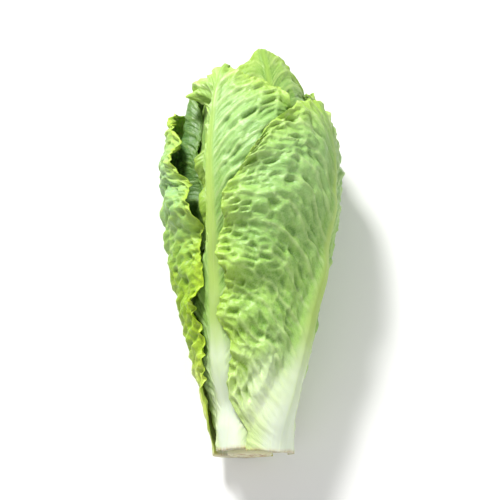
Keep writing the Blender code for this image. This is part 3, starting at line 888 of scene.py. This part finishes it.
def leaf_finish(name, bloomed=0.4, **tones):
    """Living lettuce leaf: thin flesh that lets light through, under a thin skin of wax with a soft gloss.

    The tones are sRGB hex values: deep and mid for the blade, lime for its margin, the upper tint for its
    upper blade, pale for the veins and beside the rib, white for its foot, and rib_top and rib_foot for
    the rib.
    """
    material, tree, shader = new_finish(name)
    tone = {part: colour(code) for part, code in tones.items()}
    place = add_node(tree, "ShaderNodeAttribute", {"attribute_name": "leaf_mm"}, output="Vector")
    mark = {
        kind: add_node(tree, "ShaderNodeAttribute", {"attribute_name": kind}, output="Fac")
        for kind in ("on_rib", "rib_side_shade", "near_rib", "vein", "hollow", "up", "margin")
    }
    # Slow shifts of green, about 25 mm across, and a finer mottle of about 4 mm.
    slow, mottle = (
        add_node(tree, "ShaderNodeTexNoise", {}, {"Vector": place, "Scale": 1 / width, "Detail": detail})
        for width, detail in ((25, 2.0), (4, 3.0))
    )
    shade = add_node(tree, "ShaderNodeMath", TIMES_PLUS, {0: slow, 1: 0.22, 2: mark["up"]})
    rib_up = add_node(tree, "ShaderNodeMapRange", SMOOTH,
                      {"Value": shade, "From Min": 0.14, "From Max": 0.56})
    # The rib's strands, about 0.9 mm apart and 60 mm long.
    streaks = add_node(tree, "ShaderNodeMapping", {},
                       {"Vector": place, "Scale": (0.0, 1 / 0.9, 1 / 60)})
    streaks = add_node(tree, "ShaderNodeTexNoise", {},
                       {"Vector": streaks, "Scale": 1.0, "Detail": 3.0})
    blade = blade_green(tree, tone, mark, slow, mottle, shade, rib_up, bloomed)
    rib = rib_colour(tree, tone, mark, streaks, rib_up)
    skin = add_node(tree, "ShaderNodeMix", TINT,
                    {SHARE: mark["on_rib"], FIRST: blade, SECOND: rib}, MIXED)

    # The first millimetres browned in patches where the knife went through.
    cut = add_node(tree, "ShaderNodeMapRange", SMOOTH,
                   {"Value": mark["up"], "From Min": 0.014, "From Max": 0.0})
    for patch in (mottle, streaks):
        cut = add_node(tree, "ShaderNodeMath", TIMES, {0: cut, 1: patch})
    cut = add_node(tree, "ShaderNodeMath", {**TIMES, "use_clamp": True}, {0: cut, 1: 1.7})
    skin = add_node(tree, "ShaderNodeMix", TINT,
                    {SHARE: cut, FIRST: skin, SECOND: colour("B98A52")}, MIXED)

    # A net of the smallest veins, about 1.6 mm apart, and the grain of the skin, drawn at 0.5 mm to show.
    net = add_node(tree, "ShaderNodeTexVoronoi", {"feature": "DISTANCE_TO_EDGE"},
                   {"Vector": place, "Scale": 1 / 1.6})
    net = add_node(tree, "ShaderNodeMapRange", {},
                   {"Value": net, "From Max": 0.16, "To Min": 1.0, "To Max": 0.0})
    off_rib = add_node(tree, "ShaderNodeMath", MINUS, {0: 1.0, 1: mark["on_rib"]})
    net = add_node(tree, "ShaderNodeMath", TIMES, {0: net, 1: off_rib})
    netted = add_node(tree, "ShaderNodeMath", TIMES, {0: net, 1: 0.16})
    skin = add_node(tree, "ShaderNodeMix", TINT,
                    {SHARE: netted, FIRST: skin, SECOND: tone["pale"]}, MIXED)
    grain = add_node(tree, "ShaderNodeTexNoise", {},
                     {"Vector": place, "Scale": 1 / 0.5, "Detail": 2.0})
    bumps = add_node(tree, "ShaderNodeMath", TIMES_PLUS, {0: net, 1: 0.7, 2: grain})
    bumps = add_node(tree, "ShaderNodeMath", TIMES_PLUS,
                     {0: streaks, 1: mark["on_rib"], 2: bumps})
    bump = add_node(tree, "ShaderNodeBump", {},
                    {"Height": bumps, "Strength": 0.35, "Distance": 0.12 * MM})
    # Fine wrinkles that run with the side veins, about 2 mm apart and 6 mm long.
    fine = add_node(tree, "ShaderNodeMapping", {}, {"Vector": place, "Scale": (1 / 2, 1 / 6, 1 / 60)})
    fine = add_node(tree, "ShaderNodeTexNoise", {}, {"Vector": fine, "Scale": 1.0, "Detail": 2.0})
    fine = add_node(tree, "ShaderNodeMath", TIMES, {0: fine, 1: off_rib})
    bump = add_node(tree, "ShaderNodeBump", {},
                    {"Height": fine, "Strength": 0.6, "Distance": 1.1 * MM, "Normal": bump})
    gloss = add_node(tree, "ShaderNodeMapRange", {}, {
        "Value": mottle, "From Min": 0.3, "From Max": 0.7, "To Min": 0.34, "To Max": 0.5})

    tree.links.new(skin, shader.inputs["Base Color"])
    tree.links.new(gloss, shader.inputs["Roughness"])
    tree.links.new(bump, shader.inputs["Normal"])
    shader.inputs["IOR"].default_value = 1.45
    shader.inputs["Subsurface Weight"].default_value = 0.25
    shader.inputs["Subsurface Radius"].default_value = (0.9, 1.0, 0.3)
    shader.inputs["Subsurface Scale"].default_value = 0.6 * MM
    return material


def cut_stem_finish():
    """Cut lettuce stem: moist cream flesh with a ring of vessels, browned unevenly in the air."""
    material, tree, shader = new_finish("cut_stem_flesh")
    place = add_node(tree, "ShaderNodeAttribute", {"attribute_name": "stem_mm"}, output="Vector")
    from_middle, cut = (
        add_node(tree, "ShaderNodeAttribute", {"attribute_name": mark}, output="Fac")
        for mark in ("from_middle", "cut")
    )
    # Patches about 5 mm across.
    patches = add_node(tree, "ShaderNodeTexNoise", {}, {"Vector": place, "Scale": 1 / 5, "Detail": 4.0})
    flesh = add_node(tree, "ShaderNodeMix", TINT,
                     {SHARE: patches, FIRST: colour("EFE6C4"), SECOND: colour("DCE0B0")}, MIXED)
    ring = add_node(tree, "ShaderNodeMath", MINUS, {0: from_middle, 1: 0.72})
    ring = add_node(tree, "ShaderNodeMath", {"operation": "ABSOLUTE"}, {0: ring})
    ring = add_node(tree, "ShaderNodeMapRange", SMOOTH,
                    {"Value": ring, "From Min": 0.10, "From Max": 0.0, "To Max": 0.6})
    brown = add_node(tree, "ShaderNodeMapRange", SMOOTH,
                     {"Value": patches, "From Min": 0.46, "From Max": 0.70})
    brown = add_node(tree, "ShaderNodeMath", TIMES, {0: brown, 1: cut})
    for share, code in ((ring, "C9B67E"), (brown, "B07A48")):
        flesh = add_node(tree, "ShaderNodeMix", TINT,
                         {SHARE: share, FIRST: flesh, SECOND: colour(code)}, MIXED)
    # The grain of the cut, about 0.6 mm.
    grain = add_node(tree, "ShaderNodeTexNoise", {}, {"Vector": place, "Scale": 1 / 0.6, "Detail": 3.0})
    bump = add_node(tree, "ShaderNodeBump", {}, {"Height": grain, "Strength": 0.4, "Distance": 0.15 * MM})
    tree.links.new(flesh, shader.inputs["Base Color"])
    tree.links.new(bump, shader.inputs["Normal"])
    shader.inputs["Roughness"].default_value = 0.45
    shader.inputs["IOR"].default_value = 1.42
    shader.inputs["Subsurface Weight"].default_value = 0.3
    shader.inputs["Subsurface Radius"].default_value = (1.0, 0.8, 0.4)
    shader.inputs["Subsurface Scale"].default_value = 1.5 * MM
    return material


def leaf_finishes():
    return {
        # Grown in full light: fresh green, a little bluer up the blade.
        "outer_leaf": leaf_finish(
            "outer_leaf_skin", deep="7AA842", mid="9FC95E", pale="D0E2A0", lime="A4C630",
            bloom="94C082", rib_top="A9C663", rib_foot="DFEAD2", white="E6EEDA"),
        # Young and lime green low down. Its blue-green above is painted shade with a painted reflection of
        # plastic film.
        "lime_leaf": leaf_finish(
            "lime_leaf_skin", bloomed=0.85, deep="7BA81E", mid="9CC42E", pale="CFDF4C", lime="B0CE1E",
            bloom="88B684", rib_top="AFCC68", rib_foot="E2EACB", white="E3E6AE"),
        # Half shaded by its neighbours: the same green, a little duller.
        "middle_leaf": leaf_finish(
            "middle_leaf_skin", deep="6C9A36", mid="8DB64A", pale="C0D480", lime="98BA34",
            bloom="7DAA60", rib_top="AAC860", rib_foot="E8EDD0", white="ECEFD4"),
        # Painted shade: the upper margin at the bottom of the gap is coloured a dark green to stand for
        # the deep shade there.
        "painted_gap_shade": leaf_finish(
            "painted_gap_shade_skin", deep="3C6428", mid="527C34", pale="9CB862", lime="6E9634",
            bloom="3F6E4A", rib_top="7CA04C", rib_foot="E2E8C8", white="E6EBD0"),
        # Grown in the dark of the heart: pale yellow.
        "inner_leaf": leaf_finish(
            "inner_leaf_skin", deep="B2C45C", mid="CBD672", pale="E2E6A0", lime="C0D056",
            bloom="CAD672", rib_top="DDE29A", rib_foot="F0F0D6", white="F1F1D9"),
    }


# The table, the light and the camera

def add_table():
    """A matt white laminate top, which takes the heart's shadow softly and shows nothing else."""
    reach = 3.0
    corners = [(-reach, -reach, 0), (reach, -reach, 0), (reach, reach, 0), (-reach, reach, 0)]
    mesh = bpy.data.meshes.new("table_top")
    mesh.from_pydata(corners, [], [(0, 1, 2, 3)])
    material, _, shader = new_finish("white_laminate")
    shader.inputs["Base Color"].default_value = colour("F2F2F0")
    shader.inputs["Roughness"].default_value = 0.6
    mesh.materials.append(material)
    table = bpy.data.objects.new("table_top", mesh)
    bpy.context.scene.collection.objects.link(table)


def look_at(item, target):
    ahead = np.array(target) - np.array(item.location)
    tilt = math.acos(-ahead[2] / np.linalg.norm(ahead))
    item.rotation_euler = (tilt, 0.0, math.atan2(-ahead[0], ahead[1]))


def add_light(name, place, size, power, target):
    light = bpy.data.lights.new(name, "AREA")
    light.shape = "SQUARE"
    light.size = size
    light.energy = power
    item = bpy.data.objects.new(name, light)
    item.location = place
    bpy.context.scene.collection.objects.link(item)
    look_at(item, target)


def add_studio(middle):
    """A softbox beyond the tips to the left, wide fills from the right and the front, and a pale room."""
    world = bpy.data.worlds.new("pale_room")
    world.use_nodes = True
    room = world.node_tree.nodes["Background"]
    room.inputs["Color"].default_value = colour("FFFFFF")
    room.inputs["Strength"].default_value = 0.28
    bpy.context.scene.world = world
    add_light("softbox", (-0.42, 0.80, 0.80), size=0.26, power=20.0, target=middle)
    add_light("fill", (0.75, -0.3, 0.9), size=0.9, power=6.0, target=middle)
    add_light("front_fill", (-0.45, -0.7, 0.9), size=0.9, power=2.0, target=middle)


def add_camera(middle):
    """Looks down on the heart with the stem at the bottom of the picture."""
    elevation = math.radians(76)
    distance = 0.76
    camera = bpy.data.objects.new("camera", bpy.data.cameras.new("camera"))
    camera.data.lens = 100
    camera.data.sensor_width = 36
    camera.location = (
        middle[0],
        middle[1] - distance * math.cos(elevation),
        middle[2] + distance * math.sin(elevation),
    )
    bpy.context.scene.collection.objects.link(camera)
    look_at(camera, middle)
    bpy.context.scene.camera = camera


def main():
    finishes = leaf_finishes()
    shift = shift_to_solids()
    stack = Stack()
    rings = np.linspace(0, STEM_TIP, 110)
    stack.add(stem_rings(rings, stem_radius(rings), STACK_ANGLES))
    for leaf in reversed(LEAVES):
        blade_piece(leaf, stack, shift, finishes[leaf.finish])
    stem_piece(shift, cut_stem_finish())
    middle = tuple((np.array(CAD_BOX[0]) + np.array(CAD_BOX[1])) / 2)
    add_table()
    add_studio(middle)
    add_camera(middle)
    bpy.context.scene.view_settings.view_transform = "Standard"
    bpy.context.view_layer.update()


main()
